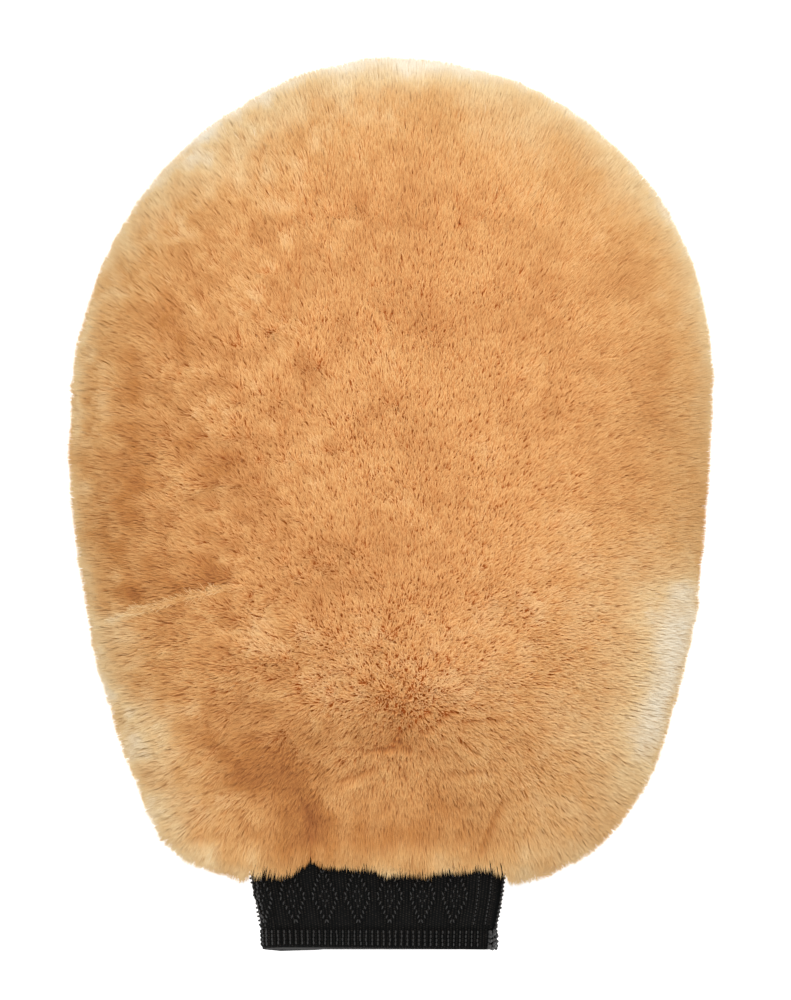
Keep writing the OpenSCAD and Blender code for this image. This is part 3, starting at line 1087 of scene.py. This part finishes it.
def makeCuffThreads():
    # covered rubber threads laid in the middle of the knit
    ring, around, section = makeRing("rubberShape", 96, 8)
    tilt = section * 2 * math.pi
    depth = cuff["thick"] / 2 - 0.45 * np.cos(tilt)
    places = cuffPlace(around * cuffRound, np.full_like(around, -80.0), depth)
    places -= (mitt["drift"], -80, mitt["seamZ"])
    places[:, 1] = 0.45 * np.sin(tilt)
    finishRing(ring, places, around, section)
    lines = [first - 3 * k for first, count in ((-80.94, 13), (-120.25, 7)) for k in range(count)]
    y = np.array(lines)
    right, left = (cuffPlace(np.full_like(y, s), y, 0 * y)[:, 0] for s in (0, cuffRound / 2))
    narrow = (right - left) / 2
    rows = np.stack([(right + left) / 2, y, np.full_like(y, mitt["seamZ"])], axis=1)
    size = np.stack([narrow / 38.5, np.ones_like(y), np.ones_like(y)], axis=1)
    rubber = scatterShape("rubberThreads", scatterNodes(ring), rows, np.array([(0, 0, 1)] * len(y)), size, {})
    bpy.data.objects.remove(ring)
    smoothFaces(rubber)
    setMaterial(rubber, rubberMaterial)
    bendWithCuff(rubber)
    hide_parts("neck_elastic_threads", "sleeve_elastic_threads")

    places = [
        (29.2, first - 2.5 * k, mitt["seamZ"])
        for first, count in ((-82.1, 15), (-120.5, 8))
        for k in range(count)
    ]
    overlock = makeLoops(
        "overlockThread", thread["overlockLoop"], places, (0, 1, 0), overlockMaterial
    )
    bendWithCuff(overlock)
    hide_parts("neck_seam_stitches", "sleeve_seam_stitches")
    print("cuff threads ready")


makeSeams()
makeKnit()
makeSeamEdge()
makeStitches()
makeCuffThreads()
makeUnderwool()
makeHides()
makeFleece()

# The stage, in m and W. The picture takes in viewHeight from top to bottom at the seam's level.
studio = {
    "floorSize": 6,
    "floorGlow": 0.5,
    "worldLight": 0.7,
    "key": 32.3,
    "keyPlace": (0.15, 0.7, 1.7),
    "fill": 14.5,
    "fillPlace": (-0.2, -1.2, 1.2),
    "lampSize": 1.4,
    "distance": 2.2,
    "viewHeight": 0.3122,
    "target": (0.0017, 0.0013),
}


def makeStudio():
    bm = bmesh.new()
    bmesh.ops.create_grid(bm, x_segments=1, y_segments=1, size=studio["floorSize"] / 2)
    floor = addMesh("floor", bm)
    material, tree, shader = newMaterial("paleFloor", 0.9)
    shader.inputs["Base Color"].default_value = (0.9, 0.9, 0.9, 1)
    shader.inputs["Emission Color"].default_value = (1, 1, 1, 1)
    shader.inputs["Emission Strength"].default_value = studio["floorGlow"]
    setMaterial(floor, material)

    world = bpy.data.worlds.new("softWorld")
    world.use_nodes = True
    world.node_tree.nodes["Background"].inputs["Color"].default_value = (1, 1, 1, 1)
    world.node_tree.nodes["Background"].inputs["Strength"].default_value = studio["worldLight"]
    bpy.context.scene.world = world

    for key in ("key", "fill"):
        lamp = bpy.data.lights.new(key + "Light", "AREA")
        lamp.shape = "DISK"
        lamp.size = studio["lampSize"]
        lamp.energy = studio[key]
        holder = bpy.data.objects.new(key + "Light", lamp)
        bpy.context.collection.objects.link(holder)
        holder.location = studio[key + "Place"]
        aim = Vector((0, 0, 0.02)) - holder.location
        holder.rotation_euler = aim.to_track_quat("-Z", "Y").to_euler()

    lens = bpy.data.cameras.new("topCamera")
    lens.sensor_width = 36
    lens.lens = 36 * studio["distance"] / studio["viewHeight"]
    lens.clip_end = 20
    camera = bpy.data.objects.new("topCamera", lens)
    bpy.context.collection.objects.link(camera)
    camera.location = (*studio["target"], studio["distance"] + mitt["seamZ"] * mm)
    bpy.context.scene.camera = camera
    bpy.context.scene.view_settings.view_transform = "Standard"


makeStudio()
print("studio ready")
